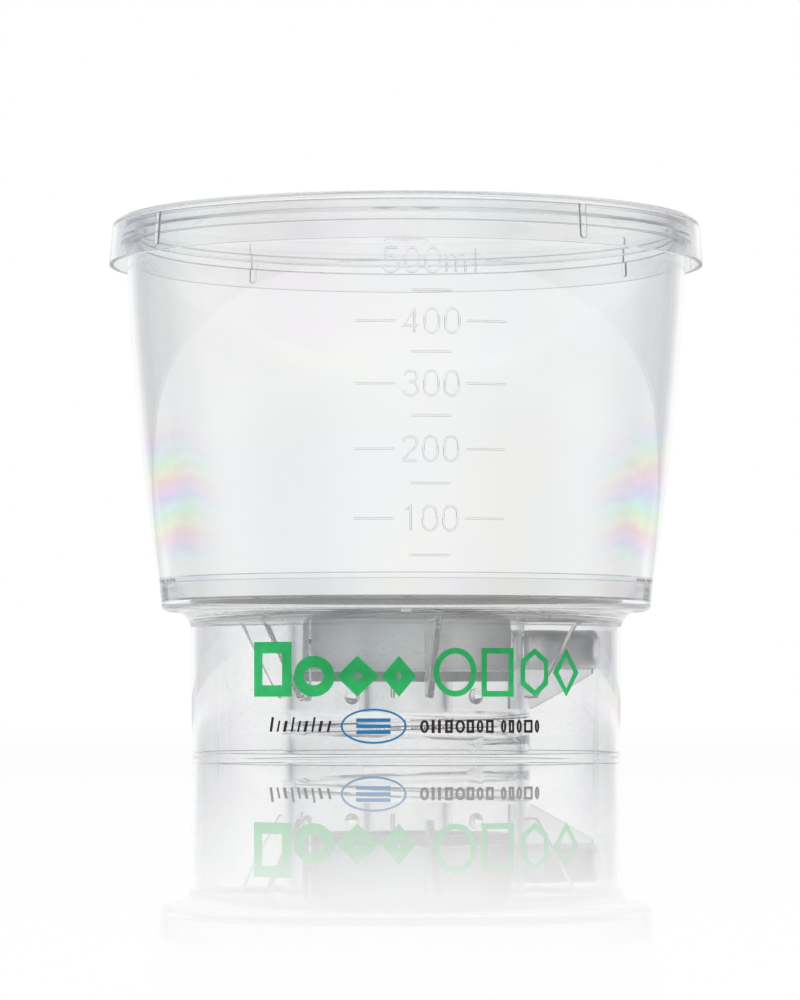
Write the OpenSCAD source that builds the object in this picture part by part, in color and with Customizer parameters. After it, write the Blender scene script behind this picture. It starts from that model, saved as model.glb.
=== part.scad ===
// Bottle-top vacuum filtration unit: a lidded funnel welded on a skirted base
// that screws onto a 45 mm bottle neck. The origin is the centre of the foot,
// and +Z runs up the axis. The front, with the label, faces -Y.

/* [Base] */
// Step in from the cup's lip to the top of the skirt
skirt_step = 6.2; // [4:0.1:8]
// How much narrower the skirt is at its foot than at its top
skirt_taper = 0.4; // [0:0.1:1]
// Wall of the skirt
skirt_wall = 1.6; // [1:0.1:3]
// Height of the cup's underside above the table
floor_z = 28.9; // [24:0.1:36]
// Thickness of the floor under the membrane
floor_t = 2.1; // [1.8:0.1:4]
// Radius of the blend between skirt and cup
skirt_fillet = 3.2; // [1:0.1:3.5]
// Radius of the cup's lower outer edge
cup_edge_r = 1.5; // [0.5:0.1:2]
// Height of the cup's wall above the floor
cup_lip_h = 3.5; // [2:0.1:6]
// Wall of the cup around the funnel's spigot
cup_wall = 1.5; // [1:0.1:2.5]
// How much narrower the cup is at its lower edge than at its lip
cup_taper = 0.4; // [0:0.1:1]
// Width of the flat land between the drained field and the cup's wall
drain_land = 4.1; // [3:0.1:8]
// Pitch of the ring-shaped drain ribs
drain_pitch = 5; // [3:0.5:8]
// Number of gaps in each drain rib
drain_gaps = 8; // [3:1:12]
// Width of a drain rib
drain_rib_w = 0.9; // [0.6:0.1:1.5]
// Depth of the drain channels under the membrane
drain_depth = 0.8; // [0.4:0.1:1.2]
// Height of the shallow sunk panel in the back of the skirt
panel_h = 10.4; // [6:0.1:16]
// Distance from the sunk panel's side edge in from the skirt's side
panel_side = 3.8; // [3.5:0.1:12]
// Depth of the sunk panel
panel_depth = 0.3; // [0.1:0.05:0.6]
// Radius of the sunk panel's upper corners
panel_corner = 5; // [1:0.5:8]

/* [Bottle neck] */
// Outer radius of the threaded collar
collar_r = 24.65; // [23.8:0.05:27]
// Wall of the collar outside the thread
collar_wall = 2; // [1.2:0.1:3]
// Gap between the collar's foot and the table
collar_gap = 0.8; // [0.2:0.1:3]
// Height of the seal's lower face above the table
seal_z = 15.1; // [13:0.1:17]
// Thickness of the seal
seal_t = 1.8; // [1:0.1:3]
// Gap between the seal's edge and the collar
seal_edge_gap = 1.95; // [1:0.05:3]
// Width of the seal's ring
seal_w = 7.1; // [5:0.1:8]
// Gap between the collar and the ring-shaped boss that backs the seal
boss_gap = 1.75; // [1:0.05:3]
// Wall of the boss
boss_wall = 2.4; // [1.6:0.1:3]
// Outer radius of the outlet spout
spout_r = 9.3; // [6:0.1:11]
// Wall of the outlet spout
spout_wall = 1.9; // [1:0.1:2.5]
// Height of the spout's tip above the table
spout_tip_z = 9; // [4:0.1:14]

/* [Ribs and port] */
// Number of even places around the collar: the port has the first, the others a fin each
place_count = 6; // [3:1:8]
// Direction of the first place, in degrees from +X towards the back
place_angle = 40; // [30:1:50]
// Direction of the port, in degrees from +X towards the back
port_angle = 21; // [0:1:45]
// Thickness of a fin, and of the web under the port
fin_t = 1.4; // [0.8:0.1:2]
// Gap between a fin's upper corner and the skirt
fin_gap = 4; // [2:0.1:6]
// How far a fin's lower corner stands out from the collar
fin_foot_out = 2.75; // [0.6:0.05:4]
// Height of a fin's lower edge
fin_foot_z = 11.7; // [8:0.1:16]
// Height of the vacuum port's axis
port_z = 21.5; // [20.5:0.1:23]
// Outer radius of the vacuum port
port_r = 4; // [3:0.1:4.5]
// Bore radius of the vacuum port
port_bore_r = 2.9; // [1.5:0.1:3]
// Height of the port web's lower edge at the collar
web_foot_z = 9.6; // [6:0.1:15]
// How far the port web's lower corner stands out from the collar
web_foot_out = 2.35; // [0.8:0.05:6]
// Height of the port web's lower edge at the skirt
web_tip_z = 17.2; // [12:0.1:20]
// Length of the port's filter plug
plug_len = 9; // [4:0.5:12]
// Gap from the port's outer mouth in to the filter plug
plug_inset = 3; // [1:0.5:6]
// Clearance of the filter plug in its bore
plug_gap = 0.05; // [0.02:0.01:0.1]

/* [Funnel] */
// Outer radius of the funnel where it meets the cup
funnel_foot_r = 49.1; // [47:0.1:54]
// Outer radius of the funnel at its rim
funnel_rim_r = 56; // [50:0.1:64]
// How far the wall bulges past a straight cone halfway up
funnel_bulge = 1.1; // [0:0.1:2]
// Wall of the funnel
funnel_wall = 2.2; // [1.2:0.1:3]
// Height of the funnel from the membrane to its rim
funnel_h = 74; // [50:0.1:110]
// Wall of the spigot that clamps the membrane
spigot_wall = 1.7; // [1:0.1:2.5]
// Clearance between the spigot and the cup
spigot_gap = 0.1; // [0.05:0.05:0.3]
// How far the bead under the rim stands out
bead_out = 1.1; // [0.4:0.1:1.5]
// Height of the bead
bead_h = 1.5; // [0.8:0.1:3]
// Distance from the rim down to the top of the bead
bead_drop = 2.3; // [1:0.1:5]
// Nominal volume in millilitres, which the top mark shows
volume_ml = 500; // [200:50:500]
// Millilitres between two long marks
mark_step_ml = 100; // [50:50:250]
// Width of a moulded mark's line
mark_w = 0.35; // [0.2:0.05:0.6]
// How far a moulded mark stands out of the wall
mark_out = 0.12; // [0.05:0.01:0.3]
// Length of a mark
mark_len = 7.6; // [4:0.1:12]
// Distance from the middle of the scale to the middle of a long mark
mark_side = 10.6; // [8:0.1:16]
// The same distance for the top mark, which also has a unit beside its number
mark_side_top = 14; // [10:0.1:20]
// Direction of the scale's middle, in degrees from the front towards +X
mark_turn = 5; // [-20:1:20]

/* [Membrane] */
// Thickness of the membrane
membrane_t = 0.3; // [0.1:0.05:0.6]
// Gap between the membrane's edge and the cup
membrane_gap = 0.4; // [0.2:0.1:1]

/* [Lid] */
// Depth of the skirt below the lid's underside
lid_skirt_h = 7.5; // [5:0.1:12]
// Thickness of the lid
lid_t = 1.1; // [0.8:0.1:2]
// Wall of the lid's skirt
lid_skirt_t = 0.9; // [0.6:0.1:1.5]
// Gap between the lid's skirt and the bead, at the bead
lid_gap = 0.6; // [0.5:0.05:1.5]
// How much wider the lid's skirt is at its foot than at its top
lid_flare = 0.6; // [0:0.1:1.5]
// Depth of the sunk panel below the lid's underside at the rim
panel_drop = 2.3; // [1:0.1:5]
// Gap between the sunk panel's wall and the funnel
plug_wall_gap = 0.35; // [0.2:0.05:1]
// Height of the stacking bead on the lid
stack_h = 0.5; // [0.2:0.1:1.5]
// Width of the stacking bead
stack_w = 1.5; // [0.8:0.1:3]
// Radius of the dimple at the gate
dimple_r = 4.5; // [2:0.1:8]
// Depth of the dimple
dimple_h = 1.2; // [0.5:0.1:2]
// Number of centring ribs inside the lid's skirt
lid_ribs = 4; // [2:1:12]
// Direction of the first centring rib, in degrees from +X
lid_rib_angle = 35; // [0:1:90]
// Width of a centring rib
lid_rib_w = 1.3; // [0.8:0.1:2.5]
// How far a centring rib stands out
lid_rib_t = 0.35; // [0.2:0.05:0.45]

/* [Label] */
// Height of the label's lower edge
label_z = 1; // [0.5:0.1:6]
// Height of the label
label_h = 22.8; // [10:0.1:23.5]
// Half of the angle that the label covers
label_half = 57; // [20:1:75]
// Direction of the label's middle, in degrees from the front towards +X
label_turn = 3; // [-20:1:20]
// Thickness of the label
label_t = 0.12; // [0.08:0.01:0.3]
// Radius of the label's corners
label_corner = 2.5; // [0:0.1:5]

/* [Hidden] */
$fn = 96;

front = -90;
wall_steps = 16;
arc_steps = 8;
over = 1;

floor_top = floor_z + floor_t;
joint_z = floor_top + cup_lip_h;
funnel_z = floor_top + membrane_t;
rim_z = funnel_z + funnel_h;
cup_r = funnel_foot_r - cup_taper;
cup_bore_r = funnel_foot_r - cup_wall;
drain_r = cup_bore_r - drain_land;
skirt_top_r = funnel_foot_r - skirt_step;
skirt_foot_r = skirt_top_r - skirt_taper;
panel_half_w = skirt_foot_r - panel_side;
spigot_r = cup_bore_r - spigot_gap;
spigot_bore_r = spigot_r - spigot_wall;
collar_bore_r = collar_r - collar_wall;
seat_z = seal_z + seal_t;
seal_r = collar_bore_r - seal_edge_gap;
seal_bore_r = seal_r - seal_w;
boss_r = collar_bore_r - boss_gap;
boss_bore_r = boss_r - boss_wall;
fin_top_r = skirt_top_r - skirt_wall - fin_gap;
fin_foot_r = collar_r + fin_foot_out;
web_foot_r = collar_r + web_foot_out;
spout_bore_r = spout_r - spout_wall;
bead_r = funnel_rim_r + bead_out;
lid_skirt_bore_r = bead_r + lid_gap;
lid_skirt_foot_r = lid_skirt_bore_r + lid_flare + lid_skirt_t;
lid_top_z = rim_z + lid_t;
panel_z = rim_z - panel_drop;
plug_wall_r = funnel_rim_r - funnel_wall - plug_wall_gap;

// Outer radius of the funnel at height z, on a shallow parabola
function funnel_r(z) =
    let (t = (z - joint_z) / (rim_z - joint_z))
    funnel_foot_r + (funnel_rim_r - funnel_foot_r) * t + 4 * funnel_bulge * t * (1 - t);

// Outer radius of the skirt at height z
function skirt_r(z) = skirt_foot_r + (skirt_top_r - skirt_foot_r) * z / floor_z;

// Millilitres held up to height z, by slices of slice_mm
slice_mm = 0.5;
function held_ml(z) =
    z <= joint_z
        ? 3.1416 * pow(spigot_bore_r, 2) * (z - funnel_z) / 1000
        : held_ml(max(joint_z, z - slice_mm))
            + 3.1416 * pow(funnel_r(z) - funnel_wall, 2)
                * min(slice_mm, z - joint_z) / 1000;

// Height at which the funnel holds ml, by halving the stretch from low to high
function mark_z(ml, low = funnel_z, high = rim_z, tries = 14) =
    tries == 0 ? (low + high) / 2
    : held_ml((low + high) / 2) < ml ? mark_z(ml, (low + high) / 2, high, tries - 1)
    : mark_z(ml, low, (low + high) / 2, tries - 1);

// Points of an arc round centre c
function arc(c, r, from, to) =
    [for (i = [0:arc_steps]) let (a = from + (to - from) * i / arc_steps)
        c + r * [cos(a), sin(a)]];

// Ring of rectangular section
module ring(r_in, r_out, z_low, z_high) {
    rotate_extrude() translate([r_in, z_low]) square([r_out - r_in, z_high - z_low]);
}

// Skirt and cup in one revolved wall, with the floor between them
module base_shell() {
    blend_r = skirt_r(floor_z - skirt_fillet) + skirt_fillet;
    rotate_extrude() polygon(concat(
        [[0, floor_z], [skirt_r(floor_z) - skirt_wall, floor_z],
         [skirt_foot_r - skirt_wall, 0], [skirt_foot_r, 0]],
        arc([blend_r, floor_z - skirt_fillet], skirt_fillet, 180, 90),
        arc([cup_r - cup_edge_r, floor_z + cup_edge_r], cup_edge_r, -90, 0),
        [[funnel_foot_r, joint_z], [cup_bore_r, joint_z], [cup_bore_r, floor_top],
         [0, floor_top]]
    ));
}

// Sunk drain field under the membrane, with its ring ribs left standing
module drain_channels() {
    sunk_z = floor_top - drain_depth;
    difference() {
        translate([0, 0, sunk_z]) cylinder(r = drain_r, h = drain_depth + over);
        for (r = [drain_r - drain_pitch:-drain_pitch:spout_r + drain_pitch / 2])
            difference() {
                ring(r - drain_rib_w, r, sunk_z - over, floor_top + 2 * over);
                for (k = [0:drain_gaps - 1])
                    rotate(k * 360 / drain_gaps)
                        translate([0, -drain_rib_w, sunk_z - 2 * over])
                            cube([drain_r, 2 * drain_rib_w, drain_depth + 5 * over]);
            }
    }
}

// Collar for the bottle's neck, the boss that backs its seal, and the spout
module neck() {
    into_floor_z = floor_z + floor_t / 4;
    ring(collar_bore_r, collar_r, collar_gap, into_floor_z);
    ring(boss_bore_r, boss_r, seat_z, into_floor_z);
    ring(spout_bore_r, spout_r, spout_tip_z, into_floor_z);
}

// Upright plate in the XZ plane, of thickness t
module plate(points, t) {
    rotate([90, 0, 0]) translate([0, 0, -t / 2]) linear_extrude(t) polygon(points);
}

module fin() {
    root_r = collar_r - collar_wall / 2;
    top_z = floor_z + floor_t / 4;
    plate([[root_r, fin_foot_z], [fin_foot_r, fin_foot_z], [fin_top_r, top_z], [root_r, top_z]],
        fin_t);
}

// Vacuum port from the boss out to the skirt, with the web under it
module port() {
    root_r = collar_r - collar_wall / 2;
    start_r = boss_r - boss_wall / 2;
    tip_r = skirt_r(port_z) - skirt_wall / 2;
    translate([start_r, 0, port_z]) rotate([0, 90, 0]) cylinder(r = port_r, h = tip_r - start_r);
    plate([[root_r, web_foot_z], [web_foot_r, web_foot_z], [tip_r, web_tip_z],
           [tip_r, port_z], [root_r, port_z]], fin_t);
}

// Sunk panel in the inside of the skirt's back
module back_panel() {
    intersection() {
        rotate_extrude() polygon([
            [skirt_foot_r - skirt_wall - over, -over],
            [skirt_foot_r - skirt_wall + panel_depth, -over],
            [skirt_r(panel_h) - skirt_wall + panel_depth, panel_h],
            [skirt_r(panel_h) - skirt_wall - over, panel_h]
        ]);
        rotate([90, 0, 180]) linear_extrude(skirt_top_r) {
            translate([-panel_half_w, -over])
                square([2 * panel_half_w, panel_h - panel_corner + over]);
            translate([panel_corner - panel_half_w, 0])
                square([2 * (panel_half_w - panel_corner), panel_h]);
            for (x = [-1, 1])
                translate([x * (panel_half_w - panel_corner), panel_h - panel_corner])
                    circle(r = panel_corner);
        }
    }
}

module base() {
    color([0.93, 0.95, 0.96, 0.5])
    difference() {
        union() {
            base_shell();
            neck();
            for (k = [1:place_count - 1])
                rotate(place_angle + k * 360 / place_count) fin();
            rotate(port_angle) port();
        }
        drain_channels();
        back_panel();
        translate([0, 0, seat_z]) cylinder(r = spout_bore_r, h = joint_z);
        rotate(port_angle) translate([boss_bore_r - over, 0, port_z]) rotate([0, 90, 0])
            cylinder(r = port_bore_r, h = skirt_top_r);
    }
}

// Moulded line on the funnel's outside, as wide as len, at height z
module mark(z, len, side) {
    turn = side * 180 / (PI * funnel_r(z));
    spread = len * 90 / (PI * funnel_r(z));
    rotate(front + mark_turn + turn - spread) rotate_extrude(angle = 2 * spread)
        translate([funnel_r(z) - funnel_wall / 2, z - mark_w / 2])
            square([funnel_wall / 2 + mark_out, mark_w]);
}

module marks() {
    for (ml = [mark_step_ml:mark_step_ml:volume_ml])
        for (way = [-1, 1])
            mark(mark_z(ml), mark_len, way * (ml == volume_ml ? mark_side_top : mark_side));
    for (ml = [mark_step_ml / 2:mark_step_ml:volume_ml]) mark(mark_z(ml), mark_len, 0);
}

module funnel_wall_profile() {
    outer = [for (i = [0:wall_steps]) let (z = joint_z + (rim_z - joint_z) * i / wall_steps)
        [funnel_r(z), z]];
    inner = [for (i = [wall_steps:-1:1]) let (z = joint_z + (rim_z - joint_z) * i / wall_steps)
        [funnel_r(z) - funnel_wall, z]];
    polygon(concat([[spigot_bore_r, funnel_z], [spigot_r, funnel_z], [spigot_r, joint_z]],
        outer, inner, [[spigot_bore_r, joint_z]]));
}

module funnel() {
    color([0.94, 0.96, 0.97, 0.4])
    union() {
        rotate_extrude() {
            funnel_wall_profile();
            translate([funnel_rim_r - funnel_wall, rim_z - bead_drop - bead_h])
                square([funnel_wall + bead_out, bead_h]);
        }
        marks();
    }
}

module membrane() {
    color([0.97, 0.97, 0.95])
    translate([0, 0, floor_top]) cylinder(r = cup_bore_r - membrane_gap, h = membrane_t);
}

module neck_seal() {
    color([0.82, 0.84, 0.84])
    ring(seal_bore_r, seal_r, seal_z, seat_z);
}

module port_filter() {
    plug_end_r = skirt_r(port_z) - plug_inset;
    color([0.9, 0.9, 0.88])
    rotate(port_angle) translate([plug_end_r - plug_len, 0, port_z]) rotate([0, 90, 0])
        cylinder(r = port_bore_r - plug_gap, h = plug_len);
}

// Right half of the lid's section
module lid_profile() {
    foot_z = rim_z - lid_skirt_h;
    edge_r = lid_skirt_bore_r + lid_skirt_t - lid_t;
    difference() {
        union() {
            polygon(concat(
                [[0, panel_z], [plug_wall_r, panel_z], [plug_wall_r, rim_z],
                 [lid_skirt_bore_r, rim_z], [lid_skirt_foot_r - lid_skirt_t, foot_z],
                 [lid_skirt_foot_r, foot_z]],
                arc([edge_r, rim_z], lid_t, 0, 90),
                arc([plug_wall_r, rim_z], lid_t, 90, 180),
                [[plug_wall_r - lid_t, panel_z + lid_t], [0, panel_z + lid_t]]
            ));
            translate([edge_r - stack_w, lid_top_z - lid_t / 2])
                square([stack_w, stack_h + lid_t / 2]);
            dimple(lid_t);
        }
        translate([0, lid_t]) dimple(over);
    }
}

// Half of a shallow cap below the panel's underside, reaching up above it
module dimple(up) {
    r = (pow(dimple_r, 2) + pow(dimple_h, 2)) / (2 * dimple_h);
    intersection() {
        translate([0, panel_z - dimple_h + r]) circle(r);
        translate([0, panel_z - dimple_h]) square([dimple_r, dimple_h + up]);
    }
}

// Centring rib on the inside of the lid's skirt, with a round foot
module lid_rib() {
    rib_h = lid_skirt_h - lid_rib_w;
    intersection() {
        rotate_extrude() polygon([
            [lid_skirt_bore_r - lid_rib_t, rim_z + lid_t / 2],
            [lid_skirt_bore_r + lid_skirt_t / 2, rim_z + lid_t / 2],
            [lid_skirt_foot_r - lid_skirt_t / 2, rim_z - lid_skirt_h],
            [lid_skirt_foot_r - lid_skirt_t - lid_rib_t, rim_z - lid_skirt_h]
        ]);
        rotate([90, 0, 90]) linear_extrude(lid_skirt_foot_r) {
            translate([-lid_rib_w / 2, rim_z - rib_h]) square([lid_rib_w, rib_h + lid_t / 2]);
            translate([0, rim_z - rib_h]) circle(d = lid_rib_w);
        }
    }
}

module lid() {
    color([0.92, 0.95, 0.97, 0.5])
    union() {
        rotate_extrude() lid_profile();
        for (k = [0:lid_ribs - 1]) rotate(lid_rib_angle + k * 360 / lid_ribs) lid_rib();
    }
}

// Clear film on the front of the skirt
module label() {
    top = label_z + label_h;
    half_w = skirt_foot_r * sin(label_half);
    color([0.35, 0.75, 0.45, 0.8])
    rotate(front + label_turn)
    intersection() {
        rotate_extrude() polygon([
            [skirt_r(label_z), label_z], [skirt_r(label_z) + label_t, label_z],
            [skirt_r(top) + label_t, top], [skirt_r(top), top]
        ]);
        rotate([90, 0, 90]) linear_extrude(skirt_top_r + over) {
            translate([-half_w, label_z + label_corner])
                square([2 * half_w, label_h - 2 * label_corner]);
            translate([label_corner - half_w, label_z])
                square([2 * (half_w - label_corner), label_h]);
            for (x = [-1, 1])
                for (z = [label_z + label_corner, top - label_corner])
                    translate([x * (half_w - label_corner), z]) circle(r = label_corner);
        }
    }
}

base();
funnel();
lid();
membrane();
neck_seal();
port_filter();
label();
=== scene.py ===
"""Looks of a bottle-top vacuum filtration unit: clear mouldings, membrane, seal, plug and label.

Sizes below are in millimetres and are turned into metres where a mesh is made.
Most heights and outer radii come from the frame. The wall sections are given here.
"""

import math

import bmesh
import bpy
from mathutils import Matrix, Vector


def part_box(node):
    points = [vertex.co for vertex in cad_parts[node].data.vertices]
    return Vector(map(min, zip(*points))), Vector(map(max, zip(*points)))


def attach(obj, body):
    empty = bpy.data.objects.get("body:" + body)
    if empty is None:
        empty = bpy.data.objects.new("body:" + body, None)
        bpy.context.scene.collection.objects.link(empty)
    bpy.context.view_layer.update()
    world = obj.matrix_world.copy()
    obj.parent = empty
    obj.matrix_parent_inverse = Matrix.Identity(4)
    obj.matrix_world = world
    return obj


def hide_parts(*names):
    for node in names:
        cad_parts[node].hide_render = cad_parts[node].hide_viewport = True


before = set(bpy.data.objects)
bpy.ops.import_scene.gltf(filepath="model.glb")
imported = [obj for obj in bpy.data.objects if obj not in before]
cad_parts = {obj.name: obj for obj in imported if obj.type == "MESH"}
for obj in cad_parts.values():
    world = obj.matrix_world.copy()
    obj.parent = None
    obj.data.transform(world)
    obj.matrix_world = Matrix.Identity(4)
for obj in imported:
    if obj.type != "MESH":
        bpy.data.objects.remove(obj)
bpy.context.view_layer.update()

MM = 0.001
TURN = 2 * math.pi
SEGMENTS = 288  # steps round a turned piece
SHARP_ANGLE = math.radians(28)
FRONT = math.radians(-90)  # the label's side, measured from +X towards +Y
EDGE_R = 0.25  # rounding of a moulded edge
CLEAR = 0.02  # keeps two faces out of one plane


def node_box(name):
    """Lowest and highest corner of a CAD node, in millimetres."""
    low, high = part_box(name)
    return low / MM, high / MM


base_low, base_high = node_box("base")
funnel_low, funnel_high = node_box("funnel")
lid_low, lid_high = node_box("lid")
membrane_low, membrane_high = node_box("membrane")
seal_low, seal_high = node_box("neck_seal")
plug_low, plug_high = node_box("port_filter")
label_low, label_high = node_box("label")

# Base
FLOOR_Z = 28.9
FLOOR_TOP = membrane_low.z
LIP_Z = base_high.z
LIP_R = base_high.x
CUP_BORE_R = LIP_R - 1.5
SKIRT_FOOT_R = 42.5
SKIRT_TOP_R = 42.9
SKIRT_WALL = 1.6
FOOT_EDGE_H = 1.1
FOOT_EDGE_IN = 0.15
SKIRT_FILLET = 3.2
CUP_EDGE_R = 1.5
CUP_TAPER = 0.4
COLLAR_R = 24.65
COLLAR_BORE_R = 22.65
COLLAR_FOOT_Z = 0.8
BOSS_R = 20.9
BOSS_BORE_R = 18.5
SPOUT_R = 9.3
SPOUT_BORE_R = 7.4
SPOUT_TIP_Z = 9.0
DRAIN_R = 43.5
DRAIN_DEPTH = 0.8
DRAIN_PITCH = 5.0
DRAIN_RIB_W = 0.9
DRAIN_GAPS = 8
DRAIN_GAP_W = 1.8
PLACE_COUNT = 6
PLACE_ANGLE = math.radians(40)
FIN_T = 1.4
PAD_PLACES = (2, 3)  # places whose fin has a domed pad at its foot
PAD_R = 0.95
FIN_TOP_R = 37.3
FIN_FOOT_R = 27.4
FIN_FOOT_Z = 11.7
PORT_R = 4.0
PORT_BORE_R = 2.9
WEB_FOOT_Z = 9.6
WEB_FOOT_R = 27.0
WEB_TIP_Z = 17.2
PANEL_H = 10.4
PANEL_HALF_W = 38.7
PANEL_DEPTH = 0.5
PANEL_CORNER = 5.0
THREAD_PITCH = 4.0
THREAD_LOW_Z = 3.0
THREAD_TURNS = 1.45
THREAD_CREST_R = 21.1
PIP_R = 1.6
PIP_OUT = 0.9
PIP_Z = 12.1
PIP_ANGLES = (math.radians(245), math.radians(303))

port_mid = (plug_low + plug_high) / 2
PORT_ANGLE = math.atan2(port_mid.y, port_mid.x)
PORT_Z = port_mid.z

# Funnel
RIM_Z = funnel_high.z
RIM_R = 56.0
BEAD_R = funnel_high.x
FUNNEL_WALL = 2.2
FUNNEL_BULGE = 1.1
WELD = 0.03
LEDGE_H = 1.2
JOINT_EDGE = 0.06
SPIGOT_R = CUP_BORE_R + WELD
SPIGOT_WALL = 1.7
BEAD_H = 1.5
BEAD_DROP = 2.3
SCALE_TURN = math.radians(5)
VOLUME_ML = 500
STEP_ML = 100
STROKE_TOP = 0.2
STROKE_FOOT = 0.9
MARK_OUT = 0.14
MARK_ROOT = 0.3
MARK_LEN = 7.6
MARK_SIDE = 10.6
MARK_SIDE_TOP = 14.0

# Label
LABEL_TURN = math.radians(3)
LABEL_HALF = math.radians(57)
LABEL_CORNER = 2.5
FILM_IN = 0.01
FILM_OUT = 0.09
PRINT_OUT = 0.115
PRINT_LIFT = 0.004  # air between the film and its print
PRINT_LINE_Z = 6.35

# Lid
LID_T = 1.1
LID_AIR = 0.05  # under the lid, so that two clear faces never share a plane
LID_SKIRT_T = 0.9
LID_SKIRT_BORE_R = BEAD_R + 0.6
LID_FOOT_R = lid_high.x
PANEL_Z = RIM_Z - 2.3
PLUG_WALL_R = RIM_R - FUNNEL_WALL - 0.35
STACK_W = 1.5
DIMPLE_R = 4.5
DIMPLE_H = 1.2
LID_RIBS = 4
LID_RIB_ANGLE = math.radians(35)
LID_RIB_W = 1.7
LID_RIB_T = 0.45


def funnel_r(z):
    """Outer radius of the funnel at height z."""
    t = (z - LIP_Z) / (RIM_Z - LIP_Z)
    return LIP_R + (RIM_R - LIP_R) * t + 4 * FUNNEL_BULGE * t * (1 - t)


def skirt_r(z):
    """Outer radius of the skirt at height z."""
    return SKIRT_FOOT_R + (SKIRT_TOP_R - SKIRT_FOOT_R) * z / FLOOR_Z


def mark_heights():
    """Height of each mark by its millilitres, from the volume that the funnel holds."""
    bore = CUP_BORE_R - 0.1 - SPIGOT_WALL
    held = math.pi * bore ** 2 * (LIP_Z - funnel_low.z) / 1000
    z, step = LIP_Z, 0.05
    found = {}
    for ml in range(STEP_ML // 2, VOLUME_ML + 1, STEP_ML // 2):
        while held < ml:
            held += math.pi * (funnel_r(z) - FUNNEL_WALL) ** 2 * step / 1000
            z += step
        found[ml] = z
    return found


# Meshes

def new_object(name, mesh, material):
    piece = bpy.data.objects.new(name, mesh)
    bpy.context.scene.collection.objects.link(piece)
    mesh.materials.append(material)
    return piece


def closed_mesh(name, bm, material):
    """Object from a finished bmesh, with its faces turned outward."""
    bmesh.ops.recalc_face_normals(bm, faces=bm.faces)
    mesh = bpy.data.meshes.new(name)
    bm.to_mesh(mesh)
    bm.free()
    return new_object(name, mesh, material)


def place_at(r, angle, z):
    """Point in metres, from a radius and height in millimetres and a direction."""
    return r * MM * math.cos(angle), r * MM * math.sin(angle), z * MM


def arc(cx, cz, r, start, end, steps=8):
    """Points of an arc in a section, angles in degrees."""
    return [
        (cx + r * math.cos(math.radians(start + (end - start) * i / steps)),
         cz + r * math.sin(math.radians(start + (end - start) * i / steps)))
        for i in range(steps + 1)
    ]


def rounded(points, radius, steps=4):
    """The section with each corner cut back to an arc of about the radius."""
    out = []
    count = len(points)
    for i in range(count):
        here = Vector(points[i])
        before = Vector(points[i - 1]) - here
        after = Vector(points[(i + 1) % count]) - here
        if here.x < 1e-6 or before.length < 1e-6 or after.length < 1e-6:
            out.append(tuple(here))
            continue
        turn = math.pi - before.angle(after)
        if turn < math.radians(25):
            out.append(tuple(here))
            continue
        cut = min(radius * math.tan(turn / 2), before.length * 0.4, after.length * 0.4)
        a = here + before.normalized() * cut
        b = here + after.normalized() * cut
        for k in range(steps + 1):
            t = k / steps
            out.append(tuple(a * (1 - t) ** 2 + here * 2 * t * (1 - t) + b * t ** 2))
    return out


def lathe(name, section, material, segments=SEGMENTS):
    """Closed turned mesh from a section of (radius, height) points in millimetres."""
    bm = bmesh.new()
    rings = []
    for r, z in section:
        if r < 1e-6:
            rings.append([bm.verts.new((0, 0, z * MM))])
        else:
            rings.append([
                bm.verts.new(place_at(r, TURN * k / segments, z)) for k in range(segments)
            ])
    for i, ring in enumerate(rings):
        other = rings[(i + 1) % len(rings)]
        if len(ring) == 1 and len(other) == 1:
            continue
        for k in range(segments):
            n = (k + 1) % segments
            if len(ring) == 1:
                bm.faces.new((ring[0], other[n], other[k]))
            elif len(other) == 1:
                bm.faces.new((ring[k], ring[n], other[0]))
            else:
                bm.faces.new((ring[k], ring[n], other[n], other[k]))
    return closed_mesh(name, bm, material)


def prism(name, outline, t, material):
    """Upright plate in the XZ plane, in millimetres, of thickness t."""
    bm = bmesh.new()
    sides = [[bm.verts.new((x * MM, y * MM, z * MM)) for x, z in outline] for y in (-t / 2, t / 2)]
    bm.faces.new(sides[0])
    bm.faces.new(list(reversed(sides[1])))
    for i in range(len(outline)):
        n = (i + 1) % len(outline)
        bm.faces.new((sides[0][n], sides[0][i], sides[1][i], sides[1][n]))
    return closed_mesh(name, bm, material)


def fin_plate(foot_r, foot_z, top_r, top_z, root_r, t, material, steps=8):
    """Upright fin in the XZ plane whose outer edge is half-round, in millimetres."""
    bm = bmesh.new()
    layers = []
    for k in range(steps + 1):
        lean = math.pi * (k / steps - 0.5)
        y, inset = t / 2 * math.sin(lean), t / 2 * (1 - math.cos(lean))
        outline = [(root_r, foot_z + inset), (foot_r - inset, foot_z + inset), (top_r - inset, top_z),
                   (root_r, top_z)]
        layers.append([bm.verts.new((x * MM, y * MM, z * MM)) for x, z in outline])
    bm.faces.new(layers[0])
    bm.faces.new(list(reversed(layers[-1])))
    for one, two in zip(layers, layers[1:]):
        for i in range(4):
            n = (i + 1) % 4
            bm.faces.new((one[n], one[i], two[i], two[n]))
    return closed_mesh("fin", bm, material)


def rod(name, r, x0, x1, z, material, steps=64):
    """Round bar along X from x0 to x1, at height z."""
    bm = bmesh.new()
    ends = [
        [bm.verts.new((x * MM, r * MM * math.cos(TURN * k / steps),
                       (z + r * math.sin(TURN * k / steps)) * MM)) for k in range(steps)]
        for x in (x0, x1)
    ]
    bm.faces.new(ends[0])
    bm.faces.new(list(reversed(ends[1])))
    for k in range(steps):
        n = (k + 1) % steps
        bm.faces.new((ends[0][n], ends[0][k], ends[1][k], ends[1][n]))
    return closed_mesh(name, bm, material)


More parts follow.
